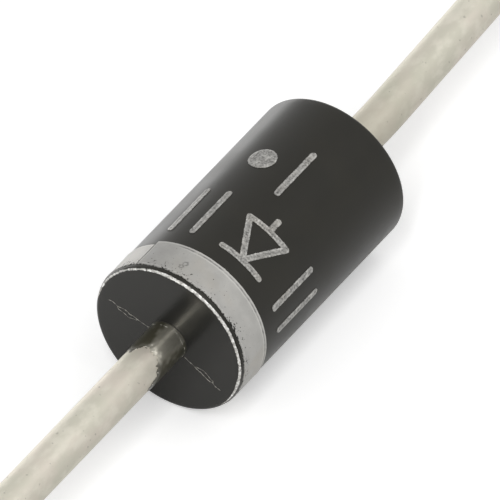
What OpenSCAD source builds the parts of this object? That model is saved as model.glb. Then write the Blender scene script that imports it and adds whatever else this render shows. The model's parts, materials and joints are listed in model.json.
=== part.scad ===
// Axial rectifier diode: a moulded epoxy case on two tinned copper leads.
// Inside it a square silicon chip is soldered between the flat nail heads of
// the leads, under a bead of silicone rubber. A printed band marks the
// cathode end of the case.
// Origin: middle of the case, on its axis. +X points to the anode lead's end
// and +Z is up. Millimetres.

/* [Case] */
// Length of the moulded case between its end faces
case_length = 9.1; // [7.2:0.1:10]
// Diameter of the moulded case
case_diameter = 5.2; // [4.8:0.1:6]
// Width of the bevel round each end of the case
edge_bevel = 0.13; // [0.05:0.01:0.14]

/* [Leads] */
// Diameter of the lead wire
lead_diameter = 1.28; // [1:0.01:1.4]
// Free length of each lead outside the case
lead_length = 25.4; // [12:0.2:30]
// Bevel on the cut end of each lead
lead_end_bevel = 0.08; // [0.02:0.01:0.2]
// Straight stretch of the anode lead before it leans
lean_start = 2.8; // [1:0.1:6]
// Angle by which the anode lead then leans off the axis
lean_angle = 1.9; // [0.5:0.1:5]
// Side to which it leans, as an angle about the axis from +Y towards +Z
lean_side = 31; // [0:1:359]
// How far the wire's skin stands proud at that bend
bend_swell = 0.005; // [0.003:0.001:0.01]

/* [Nail heads] */
// Diameter of the flat head forged on each lead
head_diameter = 2.4; // [1.8:0.1:3]
// Thickness of that head
head_thickness = 0.55; // [0.45:0.05:0.9]
// Bevel on the back rim of that head
head_bevel = 0.1; // [0.02:0.01:0.15]
// Diameter of the lead's neck behind its head, from which it tapers down to
// the plain wire at the case's end face
neck_diameter = 1.6; // [1.5:0.05:1.75]

/* [Chip] */
// Side of the square silicon chip
die_side = 2.1; // [1.4:0.1:2.4]
// Thickness of the chip
die_thickness = 0.28; // [0.2:0.01:0.4]
// Thickness of the solder on each side of the chip
solder_thickness = 0.06; // [0.03:0.01:0.1]
// How far the solder stops short of the chip's edge
solder_setback = 0.15; // [0.05:0.01:0.3]
// Silicone rubber over the chip's corners
coating_cover = 0.3; // [0.15:0.05:0.5]
// How far the rubber reaches along the rim of each head
coating_wrap = 0.3; // [0.1:0.05:0.34]

/* [Print] */
// Thickness of the printed ink
ink_thickness = 0.025; // [0.015:0.005:0.04]
// Bare case between the cathode face and the cathode band
band_start = 0.16; // [0.15:0.01:0.4]
// Width of the cathode band
band_width = 1.22; // [0.6:0.02:2]
// Bare case between the band and the first row of marks
mark_start = 0.6; // [0.3:0.05:1]
// Height of a row of marks along the case
mark_height = 2.2; // [1:0.1:2.5]
// Bare case between the two rows of marks
mark_row_gap = 0.65; // [0.2:0.05:1]
// Width of a printed stroke
mark_stroke = 0.2; // [0.1:0.01:0.3]
// Side on which the marks are centred, about the axis from +Z towards -Y
mark_side = 30; // [0:1:359]
// Width of the printed diode symbol
symbol_width = 1.7; // [1:0.1:2.4]
// Diameter of the printed dot
dot_diameter = 0.9; // [0.4:0.1:1.4]

/* [Hidden] */
$fn = 96;
EPS = 0.01;

case_r = case_diameter / 2;
case_half = case_length / 2;
lead_r = lead_diameter / 2;
head_r = head_diameter / 2;

// The stack along the axis, from the middle of the chip outwards
die_half = die_thickness / 2;
head_face = die_half + solder_thickness;
head_back = head_face + head_thickness;
solder_r = min(die_side, head_diameter) / 2 - solder_setback;
coating_r = max(die_side * sqrt(2), head_diameter) / 2 + coating_cover;
coating_half = head_face + coating_wrap;

// Where the anode lead bends, along the axis
bend_at = case_half + lean_start;

// Where the rows of marks begin, from the cathode face
band_left = -case_half + band_start;
row_a = band_left + band_width + mark_start;
row_b = row_a + mark_height + mark_row_gap;
// Angles of the marks round the case, from the middle of the print
bar_angles = [-58, -40, 40, 58];
dot_angle = -40;
short_bar_angle = -14;

CASE_COLOUR = [0.20, 0.19, 0.18];
INK_COLOUR = [0.66, 0.65, 0.62];
TIN_COLOUR = [0.78, 0.76, 0.69];
SOLDER_COLOUR = [0.62, 0.63, 0.65];
SILICON_COLOUR = [0.27, 0.29, 0.34];
RUBBER_COLOUR = [0.86, 0.85, 0.82];

// A round bar along +X that starts at the given place
module bar_x(r, from, to) {
    translate([from, 0, 0])
        rotate([0, 90, 0])
            cylinder(r = r, h = to - from);
}

// A cone along +X between two radii
module cone_x(r_from, r_to, from, to) {
    translate([from, 0, 0])
        rotate([0, 90, 0])
            cylinder(r1 = r_from, r2 = r_to, h = to - from);
}

// A round bar along +X with a bevel at its far end
module bevelled_bar_x(r, bevel, from, to) {
    bar_x(r, from, to - bevel);
    cone_x(r, r - bevel, to - bevel, to);
}

// The nail head and the tapered neck inside the case, for the lead that
// leaves towards +X
module lead_root() {
    bevelled_bar_x(head_r, head_bevel, head_face, head_back);
    cone_x(neck_diameter / 2, lead_r, head_back, case_half);
}

module cathode_lead() {
    color(TIN_COLOUR)
        mirror([1, 0, 0])
            union() {
                lead_root();
                bevelled_bar_x(
                    lead_r, lead_end_bevel, case_half, case_half + lead_length
                );
            }
}

module anode_lead() {
    color(TIN_COLOUR)
        union() {
            lead_root();
            bar_x(lead_r, case_half, bend_at);
            translate([bend_at, 0, 0])
                rotate([lean_side, 0, 0])
                    leaning_stretch();
        }
}

// The anode lead beyond its bend, leaning towards +Y. A ball just wider than
// the wire closes the knee of the bend.
module leaning_stretch() {
    sphere(r = lead_r + bend_swell);
    rotate([0, 0, lean_angle])
        bevelled_bar_x(lead_r, lead_end_bevel, 0, lead_length - lean_start);
}

// Solder on the anode side of the chip
module solder_disc() {
    bar_x(solder_r, die_half, head_face);
}

module anode_solder() {
    color(SOLDER_COLOUR)
        solder_disc();
}

module cathode_solder() {
    color(SOLDER_COLOUR)
        mirror([1, 0, 0])
            solder_disc();
}

module silicon_die() {
    color(SILICON_COLOUR)
        cube([die_thickness, die_side, die_side], center = true);
}

// The outer form of the rubber bead: a barrel, the waist of a ball
module coating_form() {
    intersection() {
        sphere(r = coating_r);
        bar_x(coating_r + EPS, -coating_half, coating_half);
    }
}

module junction_coating() {
    color(RUBBER_COLOUR)
        difference() {
            coating_form();
            silicon_die();
            cathode_solder();
            anode_solder();
            bar_x(head_r, head_face, head_back);
            bar_x(head_r, -head_back, -head_face);
        }
}

// The epoxy is moulded round the rubber bead and both leads
module moulded_case() {
    color(CASE_COLOUR)
        difference() {
            union() {
                bar_x(case_r, -case_half + edge_bevel, case_half - edge_bevel);
                cone_x(
                    case_r - edge_bevel, case_r,
                    -case_half, -case_half + edge_bevel
                );
                cone_x(
                    case_r, case_r - edge_bevel,
                    case_half - edge_bevel, case_half
                );
            }
            coating_form();
            for (end = [0, 1])
                mirror([end, 0, 0]) {
                    lead_root();
                    bar_x(lead_r, case_half - EPS, case_half + EPS);
                }
        }
}

// A ring of ink round the case
module ink_ring(from, to) {
    difference() {
        bar_x(case_r + ink_thickness, from, to);
        bar_x(case_r, from - EPS, to + EPS);
    }
}

module cathode_band() {
    color(INK_COLOUR)
        ink_ring(band_left, band_left + band_width);
}

// Lays its flat children on the case at the given angle from the middle of
// the print. Their X runs along the case from the given place, and their Y
// runs round it.
module print_at(angle, from) {
    rotate([mark_side + angle, 0, 0])
        translate([from, 0, 0])
            linear_extrude(height = case_r + 1)
                children();
}

// A straight stroke along the case
module bar_shape(length) {
    translate([0, -mark_stroke / 2])
        square([length, mark_stroke]);
}

// The circuit symbol of a diode: a triangle whose tip meets a bar on the
// cathode side, and a short line out of its base
module symbol_shape() {
    bar_width = mark_stroke;
    tip = bar_width / 2;
    base = mark_height * 0.78;
    slope = symbol_width / 2 / (base - tip);
    inner_base = base - mark_stroke;
    inner_tip = tip + mark_stroke * sqrt(1 + 1 / (slope * slope));
    inner_half = slope * (inner_base - inner_tip);
    difference() {
        polygon([
            [tip, 0], [base, symbol_width / 2], [base, -symbol_width / 2]
        ]);
        polygon([
            [inner_tip, 0], [inner_base, inner_half], [inner_base, -inner_half]
        ]);
    }
    translate([0, -symbol_width / 2])
        square([bar_width, symbol_width]);
    translate([base - EPS, -mark_stroke / 2])
        square([mark_height - base + EPS, mark_stroke]);
}

module marking() {
    color(INK_COLOUR)
        intersection() {
            ink_ring(row_a - EPS, row_b + mark_height + EPS);
            union() {
                print_at(0, row_a)
                    symbol_shape();
                for (angle = bar_angles)
                    print_at(angle, row_a)
                        bar_shape(mark_height);
                print_at(dot_angle, row_b + mark_height / 2)
                    circle(d = dot_diameter);
                print_at(short_bar_angle, row_b)
                    bar_shape(mark_height);
            }
        }
}

moulded_case();
cathode_band();
marking();
cathode_lead();
anode_lead();
cathode_solder();
anode_solder();
silicon_die();
junction_coating();
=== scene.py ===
"""Axial rectifier diode: the finished look of its case, print and leads, with a plain studio stage.

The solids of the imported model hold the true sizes. Each piece here takes its place and size from them,
and is modelled finer than they are: the turned shapes are spun in many steps, and the ink is laid on as
thin sheets with worn edges and pits.
The case lies along X, with the banded cathode end towards -X. Lengths are in metres.
Angles round the case are counted about its axis from +Z towards -Y.
"""

import json
import math

import bmesh
import bpy
from bpy.props import FloatProperty, FloatVectorProperty, IntProperty, PointerProperty
from bpy.types import Operator, Panel, PropertyGroup
from mathutils import Matrix, Quaternion, Vector, noise


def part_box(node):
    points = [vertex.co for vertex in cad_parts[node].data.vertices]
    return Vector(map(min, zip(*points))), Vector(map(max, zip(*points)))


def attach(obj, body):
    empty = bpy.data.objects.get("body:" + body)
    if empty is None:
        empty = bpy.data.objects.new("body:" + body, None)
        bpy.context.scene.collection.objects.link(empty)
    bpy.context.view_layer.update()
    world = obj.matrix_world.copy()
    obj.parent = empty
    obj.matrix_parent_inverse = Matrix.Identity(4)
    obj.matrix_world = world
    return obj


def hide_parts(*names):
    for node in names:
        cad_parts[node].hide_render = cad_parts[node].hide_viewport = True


bl_info = {
    "name": "Axial Rectifier Diode",
    "version": (1, 0, 0),
    "blender": (4, 5, 0),
    "location": "3D View > Sidebar > Diode",
    "description": "Finishes the case, print and leads of an axial rectifier diode and lights it",
    "category": "Object",
}

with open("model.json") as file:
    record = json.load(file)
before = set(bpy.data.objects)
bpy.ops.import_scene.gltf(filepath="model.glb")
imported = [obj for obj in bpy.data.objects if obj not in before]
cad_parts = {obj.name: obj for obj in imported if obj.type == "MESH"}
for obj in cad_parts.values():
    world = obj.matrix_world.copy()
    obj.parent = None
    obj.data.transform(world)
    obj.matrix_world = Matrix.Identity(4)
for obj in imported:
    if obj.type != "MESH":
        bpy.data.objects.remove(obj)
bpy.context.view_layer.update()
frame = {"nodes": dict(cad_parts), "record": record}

MM = 0.001
CASE_LOW, CASE_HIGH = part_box("moulded_case")
BAND_LOW, BAND_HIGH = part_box("cathode_band")
MARK_LOW, MARK_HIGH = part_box("marking")
LEAD_LOW, LEAD_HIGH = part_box("cathode_lead")
MOUNTS = {mount["name"]: mount for mount in frame["record"]["mounts"]}
LEAD_RADIUS = MOUNTS["cathode_lead"]["dims"]["r_mm"] * MM
CASE_RADIUS = -CASE_LOW.z
CASE_HALF = CASE_HIGH.x
HEAD_RADIUS = -LEAD_LOW.z
INK_HEIGHT = CASE_LOW.z - BAND_LOW.z

# What the camera aims at, beside the middle of the case.
AIM = Vector((-0.009, 0.013, 0.14)) * MM

SPIN_STEPS = 256
LEAD_STEPS = 96
SHARP = math.radians(38)

# Where the parting flash starts and ends on an end face, as (y, z) in millimetres, on either side of the lead.
FLASH_RUNS = (((0.64, 0.15), (2.1, 0.58)), ((-0.58, -0.42), (-1.85, -1.13)))


# ---------------------------------------------------------------------------
# Sizes and colours
# ---------------------------------------------------------------------------


def length(name, description, default, **settings):
    """A property that holds a length in metres."""
    return FloatProperty(
        name=name,
        description=description,
        default=default,
        min=0.0,
        precision=6,
        unit="LENGTH",
        subtype="DISTANCE",
        **settings,
    )


def angle(name, description, degrees):
    """A property that holds an angle."""
    return FloatProperty(
        name=name,
        description=description,
        default=math.radians(degrees),
        precision=3,
        unit="ROTATION",
        subtype="ANGLE",
    )


def colour(name, description, default):
    """A property that holds a linear colour."""
    return FloatVectorProperty(
        name=name,
        description=description,
        default=default,
        size=3,
        min=0.0,
        max=1.0,
        subtype="COLOR",
    )


class DiodeCase(PropertyGroup):
    edge_bevel: length("Edge bevel", "Width of the bevel round each end face", 0.13 * MM)
    flash_width: length("Flash width", "Width of the mould's parting line", 0.026 * MM)
    flash_height: length("Flash height", "Height of the mould's parting line", 0.016 * MM)
    curl_size: length("Curl size", "Size of the small curls in the parting line", 0.11 * MM)
    flash_angle: angle("Flash angle", "Angle of the mould's parting plane from +Y towards +Z", 23.0)
    epoxy: colour("Epoxy", "Colour of the moulded epoxy", (0.006, 0.0052, 0.0026))
    face: colour("Face", "Colour of the end faces", (0.019, 0.0187, 0.0172))
    flash: colour("Flash", "Colour of the thin parting flash", (0.34, 0.33, 0.29))


class DiodeInk(PropertyGroup):
    cell: length("Grain", "Size of the smallest flaw in the print", 0.025 * MM)
    seam_angle: angle("Seam angle", "Angle round the case of the band's seam", -28.0)
    seam_gap: length("Seam gap", "Gap at the band's seam", 0.03 * MM)
    seam_step: length("Seam step", "How much narrower the band is where it meets its start", 0.16 * MM)
    stroke: length("Stroke", "Width of a printed stroke", 0.2 * MM)
    mark_height: length("Mark height", "Height of a row of marks", 2.2 * MM)
    mark_angle: angle("Mark angle", "Angle round the case of the middle of the print", 30.0)
    symbol_width: length("Symbol width", "Width of the diode symbol", 1.7 * MM)
    dot: length("Dot", "Diameter of the printed dot", 0.9 * MM)
    silver: colour("Silver ink", "Colour of the ink", (0.42, 0.412, 0.39))


class DiodeLeads(PropertyGroup):
    head_radius: length("Head radius", "Radius of the nail head inside the case", HEAD_RADIUS)
    head_thickness: length("Head thickness", "Thickness of the nail head", 0.55 * MM)
    head_bevel: length("Head bevel", "Bevel on the head's back rim", 0.1 * MM)
    neck_radius: length("Neck radius", "Radius of the neck behind the head", 0.8 * MM)
    end_bevel: length("End bevel", "Bevel on the cut end of a lead", 0.08 * MM)
    bend_arc: length("Bend arc", "Length of wire over which the anode lead bends", 1.0 * MM)
    bleed_length: length("Bleed length", "How far resin has crept along a lead", 1.3 * MM)
    collar_length: length("Collar length", "Length of the dark collar of resin at the end face", 0.13 * MM)
    collar_height: length("Collar height", "Thickness of the dark collar of resin", 0.018 * MM)
    bleed_height: length("Bleed height", "Thickness of the resin on a lead", 0.022 * MM)
    tin: colour("Tin", "Colour of the tinned wire", (0.60, 0.575, 0.505))
    resin: colour("Resin", "Colour of the thin resin on a lead", (0.15, 0.14, 0.09))


class DiodeStage(PropertyGroup):
    azimuth: angle("Azimuth", "Camera's angle about +Z, where zero looks along +Y", -56.9)
    elevation: angle("Elevation", "Camera's height as an angle", 42.26)
    distance: length("Distance", "From the camera to the middle of the case", 0.6)
    roll: angle("Roll", "Camera's turn about its line of sight", -0.28)
    focal_length: FloatProperty(
        name="Focal length",
        description="Camera's focal length in millimetres, on a sensor 36 mm wide",
        default=1438.0,
        min=1.0,
    )
    sky: FloatProperty(name="Sky", description="Strength of the even light", default=0.54, min=0.0)
    key_power: FloatProperty(
        name="Key power",
        description="Power of the long soft lamp over the cathode end",
        default=1.5,
        min=0.0,
        unit="POWER",
    )
    fill_power: FloatProperty(
        name="Fill power",
        description="Power of the large soft lamp above the case",
        default=0.55,
        min=0.0,
        unit="POWER",
    )
    floor: colour("Floor", "Colour of the floor", (0.9, 0.9, 0.9))
    floor_glow: FloatProperty(
        name="Floor glow",
        description="White that the camera and reflections see in the floor on top of its lit colour",
        default=0.34,
        min=0.0,
    )


class DiodeSettings(PropertyGroup):
    case: PointerProperty(type=DiodeCase)
    ink: PointerProperty(type=DiodeInk)
    leads: PointerProperty(type=DiodeLeads)
    stage: PointerProperty(type=DiodeStage)


# ---------------------------------------------------------------------------
# Mesh helpers
# ---------------------------------------------------------------------------


def spin_profile(bm, points, steps, closed=False):
    """Spins an outline of (x, radius) points about the X axis and closes its poles."""
    verts = [bm.verts.new((x, radius, 0.0)) for x, radius in points]
    ends = zip(verts, verts[1:] + verts[:1]) if closed else zip(verts, verts[1:])
    edges = [bm.edges.new(pair) for pair in ends]
    bmesh.ops.spin(
        bm,
        geom=verts + edges,
        cent=(0.0, 0.0, 0.0),
        axis=(1.0, 0.0, 0.0),
        angle=2.0 * math.pi,
        steps=steps,
        use_merge=True,
    )
    bmesh.ops.remove_doubles(bm, verts=bm.verts, dist=1e-8)
    face_outward(bm)


def face_outward(bm):
    """Turns the faces of one closed shell outward."""
    bmesh.ops.recalc_face_normals(bm, faces=bm.faces)
    if bm.calc_volume(signed=True) < 0.0:
        bmesh.ops.reverse_faces(bm, faces=bm.faces)


def stations(start, end, count):
    """Evenly spaced values from start to end, both included."""
    return [start + (end - start) * step / count for step in range(count + 1)]


def add_piece(name, bm, material, replaces=None):
    """Turns a bmesh into a finished piece of the object that rides on its body."""
    for face in bm.faces:
        face.smooth = True
    for edge in bm.edges:
        if len(edge.link_faces) == 2 and edge.calc_face_angle(0.0) > SHARP:
            edge.smooth = False
    mesh = bpy.data.meshes.new(name)
    bm.to_mesh(mesh)
    bm.free()
    piece = bpy.data.objects.new(name, mesh)
    bpy.context.scene.collection.objects.link(piece)
    mesh.materials.append(material)
    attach(piece, "root")
    if replaces:
        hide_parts(replaces)
    return piece


def ripple(*place):
    """Smooth noise from about -1 to 1 at a place given by up to three numbers."""
    return noise.noise(Vector((*place, 0.0, 0.0)[:3]))


def even_tone(u, v):
    """A sheet's tone where nothing makes it lighter or darker."""
    return 0.5


def lay_sheet(bm, low, high, cell, depth, thickness, place, tone=even_tone, ring=False):
    """Builds a thin sheet of ink or resin from a flat grid.

    low and high are the (u, v) corners of the grid. depth(u, v) is how far a point lies inside the
    sheet's outline, negative outside it. thickness(d) is the sheet's height at that depth,
    place(u, v, height) is where a point of the sheet comes to lie on the piece, and tone(u, v) goes
    from 0, dark, to 1, light. A ring's first and last columns meet and are joined.
    """
    wide = max(2, round((high[0] - low[0]) / cell))
    tall = max(2, round((high[1] - low[1]) / cell))
    bmesh.ops.create_grid(bm, x_segments=wide, y_segments=tall, size=0.5)
    names = ("flat_u", "flat_v", "from_edge", "tone")
    for name in names:
        bm.verts.layers.float.new(name)
    flat_u, flat_v, edge, shade = (bm.verts.layers.float[name] for name in names)
    stretch = Matrix.Diagonal((high[0] - low[0], high[1] - low[1], 1.0, 1.0))
    middle = Matrix.Translation(((high[0] + low[0]) / 2, (high[1] + low[1]) / 2, 0.0))
    bmesh.ops.transform(bm, matrix=middle @ stretch, verts=bm.verts)
    inside = {vert: depth(vert.co.x, vert.co.y) for vert in bm.verts}
    bare = [face for face in bm.faces if all(inside[vert] <= 0.0 for vert in face.verts)]
    bmesh.ops.delete(bm, geom=bare, context="FACES")
    part_corners(bm)
    trace_outline(bm, inside, depth, cell)
    for vert in bm.verts:
        u, v = vert.co.x, vert.co.y
        vert[flat_u], vert[flat_v] = u, v
        vert[edge], vert[shade] = max(0.0, depth(u, v)) / MM, tone(u, v)
        vert.co = place(u, v, 0.0)
    if ring:
        bmesh.ops.remove_doubles(bm, verts=bm.verts, dist=1e-7)
    raised = bmesh.ops.extrude_face_region(bm, geom=bm.faces[:], use_keep_orig=True)
    for vert in raised["geom"]:
        if isinstance(vert, bmesh.types.BMVert):
            vert.co = place(vert[flat_u], vert[flat_v], thickness(vert[edge] * MM))
    bm.verts.layers.float.remove(bm.verts.layers.float["flat_v"])
    bm.verts.layers.float.remove(bm.verts.layers.float["flat_u"])
    bmesh.ops.recalc_face_normals(bm, faces=bm.faces)


def part_corners(bm):
    """Deletes faces until none touches another at a corner alone, which would pinch the sheet."""
    while True:
        pinched = set()
        for vert in bm.verts:
            faces = vert.link_faces
            if len(faces) == 2 and not set(faces[0].edges) & set(faces[1].edges):
                pinched.add(min(faces, key=lambda face: face.index))
        if not pinched:
            return
        bmesh.ops.delete(bm, geom=list(pinched), context="FACES")


def trace_outline(bm, inside, depth, cell):
    """Moves the grid's points that lie just outside the print onto its outline."""
    step = cell * 0.25
    for vert in bm.verts:
        if inside[vert] >= 0.0:
            continue
        u, v = vert.co.x, vert.co.y
        slope_u = (depth(u + step, v) - depth(u - step, v)) / (2 * step)
        slope_v = (depth(u, v + step) - depth(u, v - step)) / (2 * step)
        steep = slope_u * slope_u + slope_v * slope_v
        if steep < 0.05:
            continue
        reach = max(-cell, inside[vert]) / steep
        shift = Vector((slope_u * reach, slope_v * reach, 0.0))
        if shift.length > cell * 0.7:
            shift.length = cell * 0.7
        vert.co -= shift


def on_case(u, x, height):
    """A point on the case's side: u runs round it from +Z towards -Y, x along it."""
    turn = u / CASE_RADIUS
    radius = CASE_RADIUS + height
    return Vector((x, -radius * math.sin(turn), radius * math.cos(turn)))


def ink_relief(height):
    """The ink's height over the case by the distance from its outline: a bead runs along the edge."""

    def relief(within):
        bead = math.exp(-((within / MM - 0.035) ** 2) / 0.0006)
        return height * (0.72 + 0.28 * bead)

    return relief


def capsule(u, v, start, end, radius):
    """How far a point lies inside a straight stroke with round ends."""
    along = Vector((end[0] - start[0], end[1] - start[1]))
    offset = Vector((u - start[0], v - start[1]))
    share = min(1.0, max(0.0, offset.dot(along) / along.length_squared))
    return radius - (offset - along * share).length


# ---------------------------------------------------------------------------
# Material helpers
# ---------------------------------------------------------------------------


def new_material(name):
    """An empty node material with its shader and its object coordinates in millimetres."""
    material = bpy.data.materials.new(name)
    material.use_nodes = True
    tree = material.node_tree
    tree.nodes.clear()
    output = tree.nodes.new("ShaderNodeOutputMaterial")
    shader = tree.nodes.new("ShaderNodeBsdfPrincipled")
    tree.links.new(shader.outputs["BSDF"], output.inputs["Surface"])
    place = tree.nodes.new("ShaderNodeTexCoord")
    scaled = add_node(tree, "ShaderNodeMapping", {"Vector": place.outputs["Object"], "Scale": (1 / MM,) * 3})
    return material, tree, shader, scaled.outputs["Vector"]


def add_node(tree, kind, inputs, **settings):
    """Adds a node, with plain values or links on its inputs."""
    made = tree.nodes.new(kind)
    for name, value in settings.items():
        setattr(made, name, value)
    for key, value in inputs.items():
        if isinstance(value, bpy.types.NodeSocket):
            tree.links.new(value, made.inputs[key])
        else:
            made.inputs[key].default_value = value
    return made


def grain(tree, place, scale, detail=3.0, roughness=0.5, stretch=(1.0, 1.0, 1.0)):
    """Noise from 0 to 1 with that many features per millimetre."""
    stretched = add_node(tree, "ShaderNodeMapping", {"Vector": place, "Scale": stretch})
    made = add_node(
        tree,
        "ShaderNodeTexNoise",
        {
            "Vector": stretched.outputs["Vector"],
            "Scale": scale,
            "Detail": detail,
            "Roughness": roughness,
        },
    )
    return made.outputs[0]


def spread(tree, value, low, high, to_low=0.0, to_high=1.0, smooth=True):
    """Maps a range of a value to another range and holds it there."""
    made = add_node(
        tree,
        "ShaderNodeMapRange",
        {0: value, 1: low, 2: high, 3: to_low, 4: to_high},
        interpolation_type="SMOOTHSTEP" if smooth else "LINEAR",
    )
    return made.outputs[0]


def calculate(tree, operation, first, second=0.0, third=0.0):
    """One step of arithmetic."""
    made = add_node(tree, "ShaderNodeMath", {0: first, 1: second, 2: third}, operation=operation)
    return made.outputs[0]


def blend_colours(tree, share, first, second):
    """Mixes two colours, given as values or as links."""
    made = add_node(
        tree,
        "ShaderNodeMix",
        {
            0: share,
            6: first if isinstance(first, bpy.types.NodeSocket) else (*first, 1.0),
            7: second if isinstance(second, bpy.types.NodeSocket) else (*second, 1.0),
        },
        data_type="RGBA",
    )
    return made.outputs[2]


def tinted(base, share):
    """A colour made lighter or darker."""
    return tuple(min(1.0, channel * share) for channel in base)


def set_shader(tree, shader, values):
    """Sets the shader's sockets to plain values or links."""
    for key, value in values.items():
        if isinstance(value, bpy.types.NodeSocket):
            tree.links.new(value, shader.inputs[key])
        elif isinstance(value, tuple) and len(value) == 3:
            shader.inputs[key].default_value = (*value, 1.0)
        else:
            shader.inputs[key].default_value = value


def relief(tree, height, distance, strength=1.0):
    """A bump from a height between 0 and 1, that deep in metres."""
    made = add_node(
        tree,
        "ShaderNodeBump",
        {"Height": height, "Distance": distance, "Strength": strength},
    )
    return made.outputs["Normal"]


# ---------------------------------------------------------------------------
# Materials
# ---------------------------------------------------------------------------


def epoxy_material(case):
    """Black moulded epoxy: satin on the side and glossier on the end faces."""
    material, tree, shader, place = new_material("black_epoxy")
    axis = add_node(tree, "ShaderNodeSeparateXYZ", {0: place})
    from_middle = calculate(tree, "ABSOLUTE", axis.outputs["X"])
    face = spread(tree, from_middle, (CASE_HALF - 0.02 * MM) / MM, (CASE_HALF - 0.005 * MM) / MM)
    cloudy = grain(tree, place, 0.7, 4.0)
    fine = grain(tree, place, 14.0, 3.0)
    body = blend_colours(
        tree, spread(tree, cloudy, 0.35, 0.7), tinted(case.epoxy, 0.85), tinted(case.epoxy, 1.2)
    )
    body = blend_colours(tree, face, body, tuple(case.face))
    gloss = spread(tree, cloudy, 0.3, 0.7, 0.30, 0.36)
    gloss = add_node(tree, "ShaderNodeMix", {0: face, 2: gloss, 3: 0.18}).outputs[0]
    set_shader(
        tree,
        shader,
        {
            "Base Color": body,
            "Roughness": gloss,
            "IOR": 1.40,
            "Specular Tint": (1.0, 0.985, 0.93),
            "Normal": relief(tree, fine, 0.0012 * MM, 0.6),
        },
    )
    return material


def flash_material(case, light=1.0):
    """Thin flash of epoxy along the mould's parting line, pale where it is thin; light makes it lighter, which the
    collar's lip uses as a painted glint.
    """
    material, tree, shader, place = new_material("parting_flash")
    patchy = spread(tree, grain(tree, place, 9.0, 2.0), 0.38, 0.62)
    tone = blend_colours(tree, patchy, tinted(case.flash, 0.35 * light), tinted(case.flash, 1.3 * light))
    set_shader(tree, shader, {"Base Color": tone, "Roughness": 0.45, "IOR": 1.5})
    return material


def ink_material(ink, name, speckle, light=1.0, pitted=False):
    """Silver-grey ink: its tone is laid down with it, and it is paler along its edges, where it piled up into a
    bead: a painted highlight on that bead.

    Pitted ink has clusters of dark pits along the band's side towards the end face.
    """
    material, tree, shader, place = new_material(name)
    silver = tinted(ink.silver, light)
    edge = add_node(tree, "ShaderNodeAttribute", {}, attribute_name="from_edge").outputs["Fac"]
    tone = add_node(tree, "ShaderNodeAttribute", {}, attribute_name="tone").outputs["Fac"]
    near = spread(tree, edge, 0.010, 0.04)
    far = spread(tree, edge, 0.035, 0.075, 1.0, 0.0)
    rim = calculate(tree, "MULTIPLY", near, far)
    specks = grain(tree, place, 15.0, 2.0, 0.6)
    cloudy = grain(tree, place, 2.2, 4.0, 0.6)
    warm = spread(tree, grain(tree, place, 0.8, 2.0), 0.45, 0.65)
    plain = blend_colours(tree, spread(tree, cloudy, 0.3, 0.7), tinted(silver, 0.94), tinted(silver, 1.06))
    brown = tuple(silver[channel] * (1.0, 0.95, 0.88)[channel] for channel in range(3))
    plain = blend_colours(tree, calculate(tree, "MULTIPLY", warm, 0.5), plain, brown)
    lighter = blend_colours(tree, spread(tree, tone, 0.5, 1.0, smooth=False), plain, tinted(silver, 2.0))
    darker = blend_colours(tree, spread(tree, tone, 0.0, 0.5, smooth=False), tinted(silver, 0.25), lighter)
    # Painted highlight: paler along the bead at the sheet's edges.
    edge_painted_highlight = blend_colours(tree, calculate(tree, "MULTIPLY", rim, 0.3), darker, tinted(silver, 1.6))
    dark = spread(tree, specks, 0.66 - 0.12 * speckle, 0.74 - 0.10 * speckle, 0.0, 0.3 + 0.5 * speckle)
    worn = blend_colours(tree, dark, edge_painted_highlight, tinted(silver, 0.22))
    if pitted:
        worn = blend_colours(tree, band_pits(tree, place), worn, (0.02, 0.018, 0.014))
    set_shader(
        tree,
        shader,
        {
            "Base Color": worn,
            "Metallic": 0.2,
            "Roughness": 0.42,
            "Normal": relief(tree, specks, 0.005 * MM, 0.5),
        },
    )
    return material


def band_pits(tree, place):
    """1 where the band is pitted: in clusters along its side towards the end face, and here and there."""
    along = add_node(tree, "ShaderNodeSeparateXYZ", {0: place}).outputs["X"]
    rim = BAND_LOW.x / MM
    near = spread(tree, along, rim, rim + 0.42, 1.0, 0.0, smooth=False)
    clusters = spread(tree, grain(tree, place, 1.3, 2.0), 0.42, 0.58, 0.35, 1.0)
    worn = calculate(tree, "MULTIPLY", near, clusters)
    pits = grain(tree, place, 13.0, 2.0, 0.55)
    return spread(tree, calculate(tree, "ADD", pits, calculate(tree, "MULTIPLY", worn, 0.26)), 0.71, 0.75)


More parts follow.
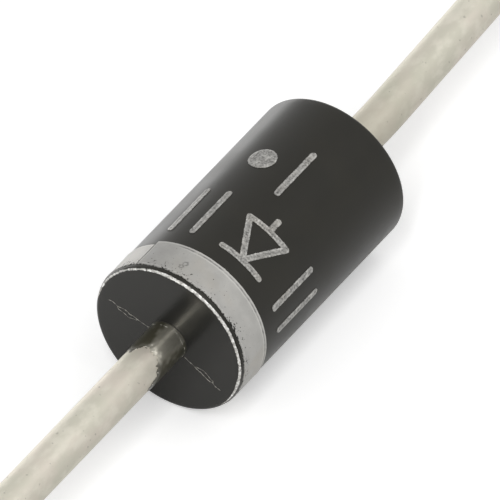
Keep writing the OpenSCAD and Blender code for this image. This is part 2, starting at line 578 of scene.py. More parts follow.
def tin_material(leads):
    """Tinned copper wire: satin, with soft warm and greenish clouds and fine drawing lines, and painted shade on
    the anode lead near the case.
    """
    material, tree, shader, place = new_material("tinned_copper")
    clouds = grain(tree, place, 0.9, 4.0, 0.55, (0.55, 1.0, 1.0))
    patches = grain(tree, place, 2.6, 3.0, 0.55, (0.6, 1.0, 1.0))
    lines = grain(tree, place, 9.0, 3.0, 0.6, (0.12, 1.0, 1.0))
    pits = grain(tree, place, 7.0, 1.0, 0.5)
    warm = (leads.tin[0] * 1.03, leads.tin[1] * 0.99, leads.tin[2] * 0.98)
    green = (leads.tin[0] * 0.94, leads.tin[1] * 0.948, leads.tin[2] * 0.91)
    tone = blend_colours(tree, spread(tree, clouds, 0.36, 0.64), green, warm)
    tone = blend_colours(tree, spread(tree, patches, 0.42, 0.68, 0.0, 0.5), tone, tinted(leads.tin, 1.22))
    tone = blend_colours(tree, spread(tree, pits, 0.71, 0.77, 0.0, 0.4), tone, tinted(leads.tin, 0.35))
    # Painted shade: the anode lead is darkened near the case, fading out by 11 mm along X.
    along = add_node(tree, "ShaderNodeSeparateXYZ", {0: place}).outputs["X"]
    anode = spread(tree, along, 0.0, 1.0, 0.0, 0.42)
    painted_shade_near_case = calculate(tree, "MULTIPLY", anode, spread(tree, along, 5.5, 11.0, 1.0, 0.0))
    tone = blend_colours(tree, painted_shade_near_case, tone, (0.30, 0.29, 0.21))
    height = calculate(tree, "ADD", calculate(tree, "MULTIPLY", lines, 0.5), patches)
    set_shader(
        tree,
        shader,
        {
            "Base Color": tone,
            "Metallic": 0.9,
            "Roughness": spread(tree, patches, 0.3, 0.7, 0.42, 0.54),
            "Normal": relief(tree, height, 0.012 * MM, 0.6),
        },
    )
    return material


def resin_material(leads):
    """Thin olive resin that has crept out along a lead: the wire shows through where it is thinnest, and the thin,
    metallic stripe about 30 degrees round the lead from the top is a painted highlight.
    """
    material, tree, shader, place = new_material("resin_bleed")
    thinness_and_painted_highlight = add_node(tree, "ShaderNodeAttribute", {}, attribute_name="tone").outputs["Fac"]
    edge = add_node(tree, "ShaderNodeAttribute", {}, attribute_name="from_edge").outputs["Fac"]
    thick = spread(tree, thinness_and_painted_highlight, 0.15, 0.85, 1.0, 0.0)
    specks = spread(tree, grain(tree, place, 9.0, 2.0), 0.60, 0.66)
    specks = calculate(tree, "MULTIPLY", specks, spread(tree, edge, 0.08, 0.22, 0.8, 0.0))
    thin = tuple(0.4 * resin + 0.75 * tin for resin, tin in zip(leads.resin, leads.tin))
    tone = blend_colours(tree, thick, thin, tinted(leads.resin, 0.4))
    tone = blend_colours(tree, specks, tone, tinted(leads.tin, 1.4))
    set_shader(
        tree,
        shader,
        {
            "Base Color": tone,
            "Metallic": spread(tree, thick, 0.0, 1.0, 0.9, 0.3),
            "Roughness": 0.28,
            "Coat Weight": 0.5,
            "Coat Roughness": 0.15,
            "Normal": relief(tree, thick, 0.012 * MM, 0.7),
        },
    )
    return material


def collar_material(leads):
    """Dark resin, thick enough to hide the wire under it."""
    material, tree, shader, place = new_material("resin_collar")
    patchy = spread(tree, grain(tree, place, 5.0, 3.0), 0.35, 0.68)
    tone = blend_colours(tree, patchy, tinted(leads.resin, 0.10), tinted(leads.resin, 0.3))
    set_shader(
        tree, shader, {"Base Color": tone, "Roughness": 0.4, "Normal": relief(tree, patchy, 0.008 * MM, 0.6)}
    )
    return material


def plain_material(name, base, metallic, rough, scale, variation):
    """A finish for the sealed pieces inside the case, with a soft cloudy tone."""
    material, tree, shader, place = new_material(name)
    cloudy = spread(tree, grain(tree, place, scale, 3.0), 0.3, 0.7)
    tone = blend_colours(tree, cloudy, tinted(base, 1.0 - variation), tinted(base, 1.0 + variation))
    set_shader(
        tree,
        shader,
        {
            "Base Color": tone,
            "Metallic": metallic,
            "Roughness": rough,
            "Normal": relief(tree, cloudy, 0.004 * MM, 0.5),
        },
    )
    return material


# ---------------------------------------------------------------------------
# Operators, one for each piece or group of like pieces
# ---------------------------------------------------------------------------


def coating_outline():
    """Half of the rubber bead's outline as (x, radius) points, from its waist to its end."""
    low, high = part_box("junction_coating")
    waist, half = high.z, high.x
    reach = math.asin(half / waist)
    return [(waist * math.sin(turn), waist * math.cos(turn)) for turn in stations(0.0, reach, 8)]


class DIODE_OT_add_case(Operator):
    """Moulds the epoxy case round the rubber bead and the leads"""

    bl_idname = "diode.add_case"
    bl_label = "Add Case"

    def execute(self, context):
        case = context.scene.diode.case
        leads = context.scene.diode.leads
        bevel = case.edge_bevel
        face_rings = stations(LEAD_RADIUS, CASE_RADIUS - bevel, 12)
        side_rings = stations(0.0, CASE_HALF - bevel, 20)
        turn = stations(0.0, math.pi / 2, 6)
        edge = [
            (CASE_HALF - bevel + bevel * math.sin(step), CASE_RADIUS - bevel + bevel * math.cos(step))
            for step in turn
        ]
        outside = [(x, CASE_RADIUS) for x in side_rings[:-1]] + edge
        outside += [(CASE_HALF, radius) for radius in reversed(face_rings[:-1])]
        head_face = LEAD_HIGH.x
        head_back = -head_face + leads.head_thickness
        bead = coating_outline()
        inside = bead + [
            (bead[-1][0], leads.head_radius),
            (head_back - leads.head_bevel, leads.head_radius),
            (head_back, leads.head_radius - leads.head_bevel),
            (head_back, leads.neck_radius),
        ]
        half = outside + list(reversed(inside))
        bm = bmesh.new()
        spin_profile(bm, half, SPIN_STEPS)
        bmesh.ops.mirror(bm, geom=bm.verts[:] + bm.edges[:] + bm.faces[:], axis="X", merge_dist=1e-7)
        bmesh.ops.remove_doubles(bm, verts=bm.verts, dist=1e-8)
        bmesh.ops.recalc_face_normals(bm, faces=bm.faces)
        add_piece("case_epoxy", bm, epoxy_material(case), "moulded_case")
        return {"FINISHED"}


class DIODE_OT_add_flash(Operator):
    """Adds the flash of the mould's parting line, with its small curls, on both end faces and both sides"""

    bl_idname = "diode.add_flash"
    bl_label = "Add Parting Flash"

    def execute(self, context):
        case = context.scene.diode.case
        bm = bmesh.new()
        for end in (-1.0, 1.0):
            for start, finish in FLASH_RUNS:
                for strand, slim in ((0.15, 1.0), (-1.3, 0.7)):
                    path = face_flash(case, end, start, finish, strand)
                    add_ridge(bm, path, 220, case.flash_width * slim, case.flash_height)
        for side in (-1.0, 1.0):
            add_ridge(bm, side_flash(case, side), 160, case.flash_width * 0.7, case.flash_height * 0.5)
        add_piece("parting_flash", bm, flash_material(case))
        return {"FINISHED"}


def face_flash(case, end, start, finish, strand):
    """The parting line on one end face: a function from 0..1 to a place and the face's outward direction.

    It runs straight out from the lead, then parts into two loose strands that meet again, and ends
    short of the edge. strand is how far to one side this strand swings.
    """
    start, finish = Vector((0.0, *start)) * MM, Vector((0.0, *finish)) * MM
    along = (finish - start).normalized()
    across = Vector((0.0, -along.z, along.y))
    up = Vector((end, 0.0, 0.0))
    seed = finish.y / MM + end * 7.0

    def path(share):
        loose = min(1.0, max(0.0, (share - 0.3) * 5.0))
        size = case.curl_size * loose * (0.6 + 0.5 * ripple(share * 7.0, seed))
        leaf = math.sin(math.pi * min(1.0, max(0.0, (share - 0.3) / 0.5))) ** 0.6 * case.curl_size * strand
        phase = (share - 0.34) * 22.0 + 1.6 * ripple(share * 5.0, seed, 3.0)
        place = up * CASE_HALF + start + (finish - start) * share
        place += along * size * 0.35 * math.sin(phase)
        place += across * (leaf + 0.3 * size * math.cos(phase) + 0.012 * MM * ripple(share * 11.0, seed, 6.0))
        return place, up

    return path


def side_flash(case, side):
    """The parting line along one side of the case, as a function from 0..1 to a place and a direction."""
    turn = case.flash_angle if side > 0 else case.flash_angle + math.pi
    out = Vector((0.0, math.cos(turn), math.sin(turn)))
    across = Vector((0.0, -out.z, out.y))
    half = CASE_HALF - case.edge_bevel

    def path(share):
        x = half * (2.0 * share - 1.0)
        sway = 0.012 * MM * ripple(x / MM * 1.7, side * 2.0)
        return Vector((x, 0.0, 0.0)) + out * CASE_RADIUS + across * sway, out

    return path


def add_ridge(bm, path, count, width, height):
    """A low rounded ridge along a path, half sunk into the surface below it, with closed ends."""
    tube = bmesh.new()
    bmesh.ops.create_grid(tube, x_segments=count, y_segments=8, size=0.5)
    step = 1.0 / count
    for vert in tube.verts:
        share, turn = vert.co.x + 0.5, (vert.co.y + 0.5) * 2.0 * math.pi
        place, up = path(share)
        ahead = path(share + step)[0] - path(share - step)[0]
        beside = ahead.cross(up).normalized()
        swell = 0.75 + 0.5 * ripple(share * count * 0.16, width / MM, place.x / MM)
        taper = min(1.0, share * count / 5.0, (1.0 - share) * count / 5.0)
        vert.co = place + beside * (width * 0.5 * taper * swell * math.cos(turn))
        vert.co += up * (height * taper * swell * math.sin(turn) - height * 0.15)
    bmesh.ops.remove_doubles(tube, verts=tube.verts, dist=1e-8)
    face_outward(tube)
    join_bmesh(bm, tube)


class DIODE_OT_add_band(Operator):
    """Prints the silver band round the cathode end, with its seam, pits and worn edges"""

    bl_idname = "diode.add_band"
    bl_label = "Add Cathode Band"

    def execute(self, context):
        ink = context.scene.diode.ink
        around = 2.0 * math.pi * CASE_RADIUS
        start = ink.seam_angle * CASE_RADIUS
        low = (start, BAND_LOW.x - 0.03 * MM)
        high = (start + around, BAND_HIGH.x + 0.03 * MM)

        def depth(u, x):
            return band_depth(ink, u, x)

        def tone(u, x):
            return band_tone(ink, u, x)

        bm = bmesh.new()
        lay_sheet(bm, low, high, ink.cell, depth, ink_relief(INK_HEIGHT), on_case, tone)
        silver = ink_material(ink, "silver_ink_band", 0.0, pitted=True)
        add_piece("silver_band", bm, silver, "cathode_band")
        return {"FINISHED"}


def band_edges(ink, u, x):
    """How far a point of the band is from its rim side, its inner side and its seam."""
    around = 2.0 * math.pi * CASE_RADIUS
    start = ink.seam_angle * CASE_RADIUS
    turn = (u - start) / around
    a, b = u / MM, x / MM
    chipped = max(0.0, ripple(a * 2.1, 4.0) + 0.25) * abs(ripple(a * 9.0, b * 9.0, 7.0))
    from_rim = x - BAND_LOW.x - (0.01 + 0.30 * chipped + 0.05 * abs(ripple(a * 19.0, b * 19.0, 3.0))) * MM
    wavy = 0.008 * ripple(a * 3.0, 11.0) + 0.007 * ripple(a * 14.0, 5.0)
    narrowed = ink.seam_step * min(1.0, max(0.0, (turn - 0.5) * 2.0))
    from_inner = BAND_HIGH.x - narrowed - x + wavy * MM
    from_seam = min(u - start, start + around - u)
    return from_rim, from_inner, from_seam


def band_depth(ink, u, x):
    """How far a point lies inside the band, with its ragged edges and seam."""
    b = x / MM
    from_rim, from_inner, from_seam = band_edges(ink, u, x)
    seam = from_seam - ink.seam_gap / 2 + 0.012 * MM * ripple(b * 7.0, 2.0)
    depth = min(from_rim, from_inner, seam)
    return depth


def from_pit(u, x, chance, density):
    """Distance to the nearest pit, where a share of the cells of a random pattern have one."""
    a, b = u / MM * density, x / MM * density
    distances, places = noise.voronoi(Vector((a, b, density)))
    draw = (noise.cell(places[0] * 13.0 + Vector((0.5, 0.5, 0.5))) + 1.0) * 0.5
    if draw > chance:
        return MM
    size = 0.12 + 0.20 * (1.0 - draw / chance)
    ragged = 0.10 * ripple(a * 3.1, b * 3.1, 9.0)
    return (math.sqrt(max(0.0, distances[0])) - size - ragged) / density * MM


def from_curl(u, x):
    """Distance to a pair of small ring-shaped flaws in the band."""
    nearest = MM
    for along, radius in ((-4.0, 0.062), (-3.84, 0.07)):
        offset = Vector((u / MM - 0.14 - 0.3 * (along + 4.0), x / MM - along))
        gap = 0.03 * ripple(math.atan2(offset.y, offset.x) * 1.6, along * 9.0)
        nearest = min(nearest, max(0.0, abs(offset.length - radius) - 0.004 - gap) * MM)
    return nearest


def strip_share(u):
    """1 where the inner edge was printed twice and shows a thin second strip with its painted highlight and shade,
    0 elsewhere.
    """
    turn = math.degrees(u / CASE_RADIUS)
    wide = 6.0 + 3.0 * ripple(turn * 0.1, 2.0)
    return min(1.0, max(0.0, (turn + 10.0) / wide)) * min(1.0, max(0.0, (200.0 - turn) / 20.0))


def band_tone(ink, u, x):
    """Lighter along the ridge of the second strip and along the inner edge's bead, as painted highlights, darker
    between the ridge and the edge as painted shade, brown by the seam.
    """
    from_rim, from_inner, from_seam = band_edges(ink, u, x)
    a, b = u / MM, x / MM
    inner = from_inner / MM
    double = strip_share(u)
    # Painted highlights on the second strip's ridge and on the bead just inside the inner edge; painted shade in
    # the groove between the ridge and the edge.
    ridge = math.exp(-(((inner - 0.135 + 0.012 * ripple(a * 5.0, 8.0)) / 0.02) ** 2))
    lip = math.exp(-(((inner - 0.03) / 0.018) ** 2))
    painted_groove_shade = math.exp(-(((inner - 0.085) / 0.022) ** 2)) * (0.7 + 1.1 * ripple(a * 7.0, b * 3.0, 5.0))
    curl = math.exp(-((from_curl(u, x) / (0.016 * MM)) ** 2))
    seam = math.exp(-((from_seam / (0.03 * MM)) ** 2)) * min(1.0, max(0.0, (x - BAND_LOW.x) / (0.9 * MM)))
    worn = 0.12 * math.exp(-max(0.0, from_rim / MM) / 0.08) * (0.5 + ripple(a * 12.0, b * 12.0))
    shade = 0.05 * ripple(a * 0.9, b * 0.9, 1.0) - 0.17 * math.exp(-(((u / CASE_RADIUS + 0.38) / 0.34) ** 2))
    lines = double * (0.2 * ridge - 0.42 * max(0.0, painted_groove_shade))
    return 0.5 + lines + 0.12 * lip - 0.25 * seam - 0.34 * curl - worn + shade


class DIODE_OT_add_rim_ink(Operator):
    """Lays the bright beaded line of ink on the bevel of the cathode end face; its brightness beyond the band's
    ink is a painted highlight
    """

    bl_idname = "diode.add_rim_ink"
    bl_label = "Add Rim Ink"

    def execute(self, context):
        case = context.scene.diode.case
        ink = context.scene.diode.ink
        bevel = case.edge_bevel
        slant = bevel * math.pi / 2
        start, end = math.radians(-84.0) * CASE_RADIUS, math.radians(132.0) * CASE_RADIUS

        def depth(u, v):
            a, b = u / MM, v / MM
            turn = math.degrees(u / CASE_RADIUS)
            beaded = min(1.0, max(0.0, (-4.0 - turn) / 14.0))
            bead = 0.5 + 0.5 * math.sin(a * 40.0 + b * 22.0 + 7.0 * ripple(a * 3.0, 6.0))
            middle = 0.078 + 0.014 * ripple(a * 1.1, 8.0)
            wide = 0.041 + 0.010 * ripple(a * 5.0, 1.0) + 0.016 * ripple(a * 16.0, b * 16.0)
            wide -= 0.010 * math.exp(-(((turn - 82.0) / 12.0) ** 2))
            wide = wide * (1.0 - beaded) + (0.012 + 0.024 * bead) * beaded
            fade = min(1.0, (u - start) / (0.5 * MM), (end - u) / (1.2 * MM))
            flaw = from_pit(u, v, 0.30 + 0.2 * beaded, 16.0)
            return min(wide * MM * max(0.02, fade) - abs(v - middle * MM), flaw)

        def tone(u, v):
            a, b = u / MM, v / MM
            # A tone above 0.5 lightens the ink further, as part of the painted highlight, and less so where the
            # line is beaded.
            light = 0.56 - 0.08 * min(1.0, max(0.0, (-4.0 - math.degrees(u / CASE_RADIUS)) / 14.0))
            return light + 0.5 * ripple(a * 7.0, b * 11.0, 2.0) + 0.5 * ripple(a * 15.0, b * 25.0, 4.0)

        def place(u, v, height):
            bend = v / bevel
            turn = u / CASE_RADIUS
            radius = CASE_RADIUS - bevel + (bevel + height) * math.sin(bend)
            x = -CASE_HALF + bevel - (bevel + height) * math.cos(bend)
            return Vector((x, -radius * math.sin(turn), radius * math.cos(turn)))

        bm = bmesh.new()
        lay_sheet(bm, (start, 0.0), (end, slant), ink.cell * 0.5, depth, ink_relief(0.016 * MM), place, tone)
        # The band's ink made 1.25 times lighter: a painted highlight on the bevel.
        add_piece("rim_ink", bm, ink_material(ink, "silver_ink_rim_painted_highlight", 0.2, 1.25))
        return {"FINISHED"}


class DIODE_OT_add_marks(Operator):
    """Prints the plain marks on the side: the diode's circuit symbol between strokes, a dot and a stroke"""

    bl_idname = "diode.add_marks"
    bl_label = "Add Marks"

    def execute(self, context):
        ink = context.scene.diode.ink
        marks = mark_list(ink)
        middle = ink.mark_angle * CASE_RADIUS
        bm = bmesh.new()
        for low, high, shape in marks:

            def depth(u, x, shape=shape):
                a, b = (u + middle) / MM, x / MM
                ragged = 0.010 * ripple(a * 7.0, b * 7.0, 2.0) + 0.008 * ripple(a * 23.0, b * 23.0, 6.0)
                within = shape(u, x)
                worn = 0.02 + 0.34 * min(1.0, max(0.0, within / MM - 0.02) / 0.05)
                patch = max(0.0, 0.6 + 1.4 * ripple(a * 1.6, b * 1.6, 3.0))
                return min(within + ragged * MM, from_pit(u + middle, x, worn * patch, 17.0))

            def tone(u, x, shape=shape):
                a, b = (u + middle) / MM, x / MM
                # Painted highlight: lighter 0.02 mm inside each stroke's edge, over the ink's bead.
                edge = math.exp(-(((shape(u, x) / MM - 0.02) / 0.022) ** 2))
                rough = 0.35 * ripple(a * 5.0, b * 5.0, 5.0) + 0.4 * ripple(a * 17.0, b * 17.0, 7.0)
                return 0.40 + 0.16 * edge + rough

            def place(u, x, rise):
                return on_case(u + middle, x, rise)

            mark = bmesh.new()
            lay_sheet(mark, low, high, ink.cell * 0.6, depth, ink_relief(INK_HEIGHT), place, tone)
            join_bmesh(bm, mark)
        add_piece("printed_marks", bm, ink_material(ink, "silver_ink_marks", 0.75, 0.8), "marking")
        return {"FINISHED"}


def join_bmesh(target, source):
    """Adds one bmesh to another, through a mesh that is then removed."""
    passing = bpy.data.meshes.new("passing")
    source.to_mesh(passing)
    source.free()
    target.from_mesh(passing)
    bpy.data.meshes.remove(passing)


def mark_list(ink):
    """Each mark as the two corners of its patch and its depth function.

    Positions round the case are counted from the middle of the print.
    """
    half = ink.stroke / 2
    row_a = MARK_LOW.x
    row_b = MARK_HIGH.x - ink.mark_height
    margin = 0.06 * MM
    marks = []

    def add_strokes(strokes):
        us = [point[0] for stroke in strokes for point in stroke]
        xs = [point[1] for stroke in strokes for point in stroke]
        low = (min(us) - half - margin, min(xs) - half - margin)
        high = (max(us) + half + margin, max(xs) + half + margin)

        def shape(u, x):
            return max(capsule(u, x, start, end, half) for start, end in strokes)

        marks.append((low, high, shape))

    def upright(degrees, row):
        u = math.radians(degrees) * CASE_RADIUS
        return [((u, row + half), (u, row + ink.mark_height - half))]

    for degrees in (-58.0, -40.0, 40.0, 58.0):
        add_strokes(upright(degrees, row_a))
    add_strokes(upright(-14.0, row_b))

    wide = ink.symbol_width / 2 - half
    bar = row_a + half
    base = row_a + ink.mark_height * 0.78 - half
    tail = row_a + ink.mark_height - half
    add_strokes(
        [
            ((-wide, bar), (wide, bar)),
            ((0.0, bar), (wide, base)),
            ((0.0, bar), (-wide, base)),
            ((-wide, base), (wide, base)),
            ((0.0, base), (0.0, tail)),
        ]
    )

    dot_u = math.radians(-40.0) * CASE_RADIUS
    dot_x = row_b + ink.mark_height / 2
    reach = ink.dot / 2 + margin

    def dot(u, x):
        return ink.dot / 2 - math.hypot(u - dot_u, x - dot_x)

    marks.append(((dot_u - reach, dot_x - reach), (dot_u + reach, dot_x + reach), dot))
    return marks


class DIODE_OT_add_leads(Operator):
    """Makes both tinned leads, with their nail heads, cut ends and the anode lead's slight bend"""

    bl_idname = "diode.add_leads"
    bl_label = "Add Leads"

    def execute(self, context):
        leads = context.scene.diode.leads
        tin = tin_material(leads)
        tip = -LEAD_LOW.x

        bm = bmesh.new()
        spin_profile(bm, lead_outline(leads, tip), LEAD_STEPS)
        bmesh.ops.rotate(bm, cent=(0.0, 0.0, 0.0), matrix=Matrix.Rotation(math.pi, 3, "Z"), verts=bm.verts)
        add_piece("cathode_wire", bm, tin, "cathode_lead")

        bm = bmesh.new()
        spin_profile(bm, lead_outline(leads, tip), LEAD_STEPS)
        bend_wire(bm, leads.bend_arc)
        add_piece("anode_wire", bm, tin, "anode_lead")
        return {"FINISHED"}


def lead_outline(leads, tip):
    """The outline of a straight lead that leaves towards +X, as (x, radius) points."""
    head_face = -LEAD_HIGH.x
    head_back = head_face + leads.head_thickness
    outline = [
        (head_face, 0.0),
        (head_face, leads.head_radius),
        (head_back - leads.head_bevel, leads.head_radius),
        (head_back, leads.head_radius - leads.head_bevel),
        (head_back, leads.neck_radius),
    ]
    outline += [(x, LEAD_RADIUS) for x in stations(CASE_HALF, tip - leads.end_bevel, 160)]
    outline += [(tip, LEAD_RADIUS - leads.end_bevel), (tip, 0.0)]
    return outline


def bend_wire(bm, arc):
    """Bends the straight lead to the lean that the anode lead's mount states."""
    mount = MOUNTS["anode_lead"]
    lean = Vector(mount["axis"]).normalized()
    place = Vector(mount["pos_m"])
    side = Vector((0.0, lean.y, lean.z))
    turn = math.atan2(side.length, lean.x)
    knee = place.x - lean.x * side.dot(place) / side.length_squared
    side.normalize()
    start = knee - arc / 2
    radius = arc / turn
    for vert in bm.verts:
        along = vert.co.x - start
        if along <= 0.0:
            continue
        turned = min(along / radius, turn)
        beyond = max(0.0, along - arc)
        forward = Vector((math.cos(turned), 0.0, 0.0)) + side * math.sin(turned)
        sideways = side * math.cos(turned) - Vector((math.sin(turned), 0.0, 0.0))
        centre = Vector((start + radius * math.sin(turned), 0.0, 0.0))
        centre += side * radius * (1.0 - math.cos(turned)) + forward * beyond
        offset = vert.co.copy()
        offset.x = 0.0
        lateral = offset.dot(side)
        vert.co = centre + (offset - side * lateral) + sideways * lateral


class DIODE_OT_add_resin(Operator):
    """Adds the thin ragged film of resin where each lead leaves the case, its dark collar and its pale lip, whose
    paleness is partly a painted glint
    """

    bl_idname = "diode.add_resin"
    bl_label = "Add Resin Bleed"

    def execute(self, context):
        case = context.scene.diode.case
        leads = context.scene.diode.leads
        resin = resin_material(leads)
        collar = collar_material(leads)
        # The lip is the flash's colour made 1.7 times lighter: a painted glint on the collar's edge.
        lip = flash_material(case, 1.7)
        for name, end, reach in (("cathode", -1.0, 1.0), ("anode", 1.0, 0.7)):
            bm = bmesh.new()
            add_film(bm, leads, end, reach)
            add_piece(name + "_resin", bm, resin)
            bm = bmesh.new()
            add_collar(bm, leads, end)
            add_piece(name + "_collar", bm, collar)
            bm = bmesh.new()
            add_ridge(bm, collar_lip(leads, end), 300, 0.022 * MM, 0.018 * MM)
            add_piece(name + "_lip", bm, lip)
        return {"FINISHED"}


def collar_reach(leads, turn, end):
    """How far the collar of resin reaches along a lead at an angle round it."""
    wave = Vector((math.cos(turn) * 1.4, math.sin(turn) * 1.4, end * 3.0))
    return leads.collar_length * (1.0 + 0.35 * noise.noise(wave) + 0.1 * noise.noise(wave * 5.0))


def add_collar(bm, leads, end):
    """A low fillet of dark resin between an end face and its lead."""
    base = LEAD_RADIUS + leads.collar_height
    outline = [
        (0.0, LEAD_RADIUS - 0.01 * MM),
        (0.0, base + 0.012 * MM),
        (0.12, base + 0.005 * MM),
        (0.35, base + 0.002 * MM),
        (0.8, base - 0.003 * MM),
        (0.95, base - 0.008 * MM),
        (1.0, LEAD_RADIUS),
        (0.98, LEAD_RADIUS - 0.01 * MM),
    ]
    spin_profile(bm, outline, LEAD_STEPS, closed=True)
    for vert in bm.verts:
        turn = math.atan2(vert.co.z, vert.co.y)
        vert.co.x = end * (CASE_HALF + vert.co.x * collar_reach(leads, turn, end))
    face_outward(bm)


def collar_lip(leads, end):
    """The collar's outer edge, pale with a painted glint, as a function from 0..1 to a place and the direction out
    of the lead.
    """

    def path(share):
        turn = share * 2.0 * math.pi
        out = Vector((0.0, math.cos(turn), math.sin(turn)))
        reach = collar_reach(leads, turn, end)
        return Vector((end * (CASE_HALF + reach), 0.0, 0.0)) + out * (LEAD_RADIUS + leads.bleed_height * 0.6), out

    return path


def add_film(bm, leads, end, reach):
    """A sleeve of resin on a lead, from the end face outwards to a ragged edge."""
    around = 2.0 * math.pi * LEAD_RADIUS

    def depth(u, v):
        turn = u / LEAD_RADIUS
        wave = Vector((math.cos(turn), math.sin(turn), end))
        edge = leads.bleed_length * reach * (1.0 + 0.26 * noise.noise(wave * 1.3) + 0.16 * noise.noise(wave * 4.0))
        edge += leads.bleed_length * (0.75 * lobe(turn, 108.0, 24.0) + 0.2 * lobe(turn, -25.0, 22.0))
        return edge - v + 0.10 * MM * noise.noise(wave * 9.0 + Vector((0.0, 0.0, v / MM * 6.0)))

    def tone(u, v):
        turn = u / LEAD_RADIUS
        wave = Vector((math.cos(turn) * 1.2, math.sin(turn) * 1.2, v / MM * 1.4 + end))
        # Painted highlight: the film is made thin and light in a stripe about 30 degrees round the lead from the
        # top; the noise is its own uneven thickness.
        clear = lobe(turn, 30.0, 26.0) * (1.0 + 0.4 * noise.noise(wave * 1.5))
        return 0.14 + 0.85 * clear + 0.25 * noise.noise(wave) + 0.2 * noise.noise(wave * 4.0)

    def thickness(within):
        return leads.bleed_height * min(1.0, 0.35 + within / (0.35 * MM))

    def place(u, v, height):
        turn = u / LEAD_RADIUS
        radius = LEAD_RADIUS + height
        return Vector((end * (CASE_HALF + v), -radius * math.sin(turn), radius * math.cos(turn)))

    far = leads.bleed_length * 2.4
    lay_sheet(bm, (0.0, 0.0), (around, far), 0.03 * MM, depth, thickness, place, tone, ring=True)


def lobe(turn, degrees, wide):
    """A smooth bump round a lead, in the direction given in degrees."""
    away = (math.degrees(turn) - degrees + 180.0) % 360.0 - 180.0
    return math.exp(-((away / wide) ** 2))


class DIODE_OT_finish_inner_pieces(Operator):
    """Gives the sealed pieces inside the case their finish"""

    bl_idname = "diode.finish_inner_pieces"
    bl_label = "Finish Inner Pieces"

    def execute(self, context):
        solder = plain_material("solder", (0.55, 0.56, 0.58), 0.9, 0.4, 4.0, 0.12)
        silicon = plain_material("silicon", (0.10, 0.11, 0.15), 0.6, 0.25, 2.0, 0.08)
        rubber = plain_material("silicone_rubber", (0.75, 0.74, 0.70), 0.0, 0.6, 3.0, 0.05)
        finishes = {
            "cathode_solder": solder,
            "anode_solder": solder,
            "silicon_die": silicon,
            "junction_coating": rubber,
        }
        for name, material in finishes.items():
            node = frame["nodes"][name]
            if not node.material_slots:
                node.data.materials.append(material)
            for slot in node.material_slots:
                slot.material = material
        return {"FINISHED"}


class DIODE_OT_add_stage(Operator):
    """Sets up the floor, the soft light and the camera"""

    bl_idname = "diode.add_stage"
    bl_label = "Add Stage"

    def execute(self, context):
        stage = context.scene.diode.stage
        add_floor(stage)
        add_lights(stage)
        add_camera(context.scene, stage)
        context.scene.view_settings.view_transform = "Standard"
        return {"FINISHED"}


def add_floor(stage):
    """A wide pale floor just under the case, white where no shadow falls and brightest behind the case."""
    bm = bmesh.new()
    bmesh.ops.create_grid(bm, x_segments=1, y_segments=1, size=3.0)
    bmesh.ops.translate(bm, vec=(0.0, 0.0, CASE_LOW.z), verts=bm.verts)
    mesh = bpy.data.meshes.new("floor")
    bm.to_mesh(mesh)
    bm.free()
    floor = bpy.data.objects.new("floor", mesh)
    bpy.context.scene.collection.objects.link(floor)
    material, tree, shader, place = new_material("pale_floor")
    depth = add_node(tree, "ShaderNodeSeparateXYZ", {0: place}).outputs["Y"]
    behind = spread(tree, depth, 2.0, 22.0, 0.2, 5.2)
    glow = calculate(tree, "MULTIPLY", background_rays(tree, behind), stage.floor_glow)
    set_shader(
        tree,
        shader,
        {
            "Base Color": tuple(stage.floor),
            "Roughness": 0.9,
            "Specular IOR Level": 0.1,
            "Emission Color": (1.0, 1.0, 1.0),
            "Emission Strength": glow,
        },
    )
    mesh.materials.append(material)


def background_rays(tree, gloss=1.0):
    """1 for a ray that should meet the plain white background, from the camera or glass, and gloss in gloss."""
    path = tree.nodes.new("ShaderNodeLightPath")
    shiny = calculate(tree, "MULTIPLY", path.outputs["Is Glossy Ray"], gloss)
    first = calculate(tree, "MAXIMUM", path.outputs["Is Camera Ray"], shiny)
    return calculate(tree, "MAXIMUM", first, path.outputs["Is Transmission Ray"])


def add_lights(stage):
    """An even white sky, a long narrow lamp over the cathode end and a large soft one above the case."""
    world = bpy.data.worlds.new("studio")
    bpy.context.scene.world = world
    world.use_nodes = True
    tree = world.node_tree
    tree.nodes.clear()
    output = tree.nodes.new("ShaderNodeOutputWorld")
    seen = background_rays(tree)
    strength = spread(tree, seen, 0.0, 1.0, stage.sky, 1.0, smooth=False)
    sky = add_node(tree, "ShaderNodeBackground", {"Color": (1.0, 1.0, 1.0, 1.0), "Strength": strength})
    tree.links.new(sky.outputs[0], output.inputs["Surface"])

    add_lamp("key_lamp", (-0.406, -0.158, 0.482), (0.06, 0.5), stage.key_power)
    add_lamp("fill_lamp", (0.10, -0.30, 0.55), (0.40, 0.40), stage.fill_power)


def add_lamp(name, place, size, power):
    """A soft rectangular lamp that faces the case."""
    lamp = bpy.data.lights.new(name, "AREA")
    lamp.shape = "RECTANGLE"
    lamp.size, lamp.size_y = size
    lamp.energy = power
    soft = bpy.data.objects.new(name, lamp)
    soft.location = place
    soft.rotation_euler = Vector(place).to_track_quat("Z", "Y").to_euler()
    bpy.context.scene.collection.objects.link(soft)


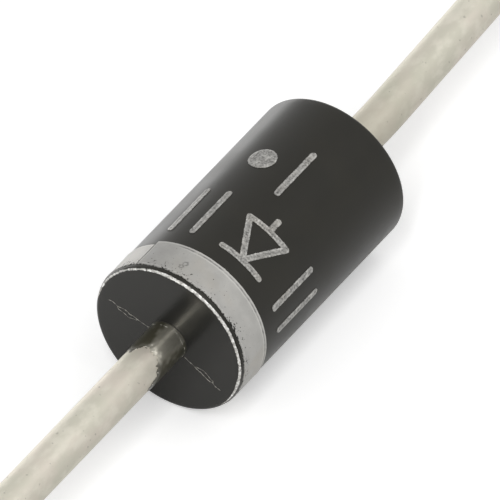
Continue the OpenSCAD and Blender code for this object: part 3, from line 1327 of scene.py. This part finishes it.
def add_camera(scene, stage):
    """The camera looks down on the cathode end from the left."""
    lens = bpy.data.cameras.new("camera")
    lens.lens = stage.focal_length
    lens.sensor_width = 36.0
    camera = bpy.data.objects.new("camera", lens)
    back = Vector(
        (
            math.sin(stage.azimuth) * math.cos(stage.elevation),
            -math.cos(stage.azimuth) * math.cos(stage.elevation),
            math.sin(stage.elevation),
        )
    )
    camera.location = AIM + back * stage.distance
    level = back.to_track_quat("Z", "Y")
    camera.rotation_euler = (level @ Quaternion((0.0, 0.0, 1.0), stage.roll)).to_euler()
    scene.collection.objects.link(camera)
    scene.camera = camera


# ---------------------------------------------------------------------------
# Panel and registration
# ---------------------------------------------------------------------------

PIECE_OPERATORS = (
    DIODE_OT_add_case,
    DIODE_OT_add_flash,
    DIODE_OT_add_band,
    DIODE_OT_add_rim_ink,
    DIODE_OT_add_marks,
    DIODE_OT_add_leads,
    DIODE_OT_add_resin,
    DIODE_OT_finish_inner_pieces,
    DIODE_OT_add_stage,
)


class DIODE_PT_sidebar(Panel):
    """Lists the steps and the sizes of the diode"""

    bl_idname = "DIODE_PT_sidebar"
    bl_label = "Axial Diode"
    bl_space_type = "VIEW_3D"
    bl_region_type = "UI"
    bl_category = "Diode"

    def draw(self, context):
        layout = self.layout
        for operator in PIECE_OPERATORS:
            layout.operator(operator.bl_idname)
        settings = context.scene.diode
        for group in (settings.case, settings.ink, settings.leads, settings.stage):
            box = layout.box()
            for name in group.__annotations__:
                box.prop(group, name)


CLASSES = (
    DiodeCase,
    DiodeInk,
    DiodeLeads,
    DiodeStage,
    DiodeSettings,
    *PIECE_OPERATORS,
    DIODE_PT_sidebar,
)


def register():
    for cls in CLASSES:
        bpy.utils.register_class(cls)
    bpy.types.Scene.diode = PointerProperty(type=DiodeSettings)


def unregister():
    del bpy.types.Scene.diode
    for cls in reversed(CLASSES):
        bpy.utils.unregister_class(cls)


def main():
    register()
    bpy.ops.diode.add_case()
    bpy.ops.diode.add_flash()
    bpy.ops.diode.add_band()
    bpy.ops.diode.add_rim_ink()
    bpy.ops.diode.add_marks()
    bpy.ops.diode.add_leads()
    bpy.ops.diode.add_resin()
    bpy.ops.diode.finish_inner_pieces()
    bpy.ops.diode.add_stage()


if __name__ == "__main__":
    main()
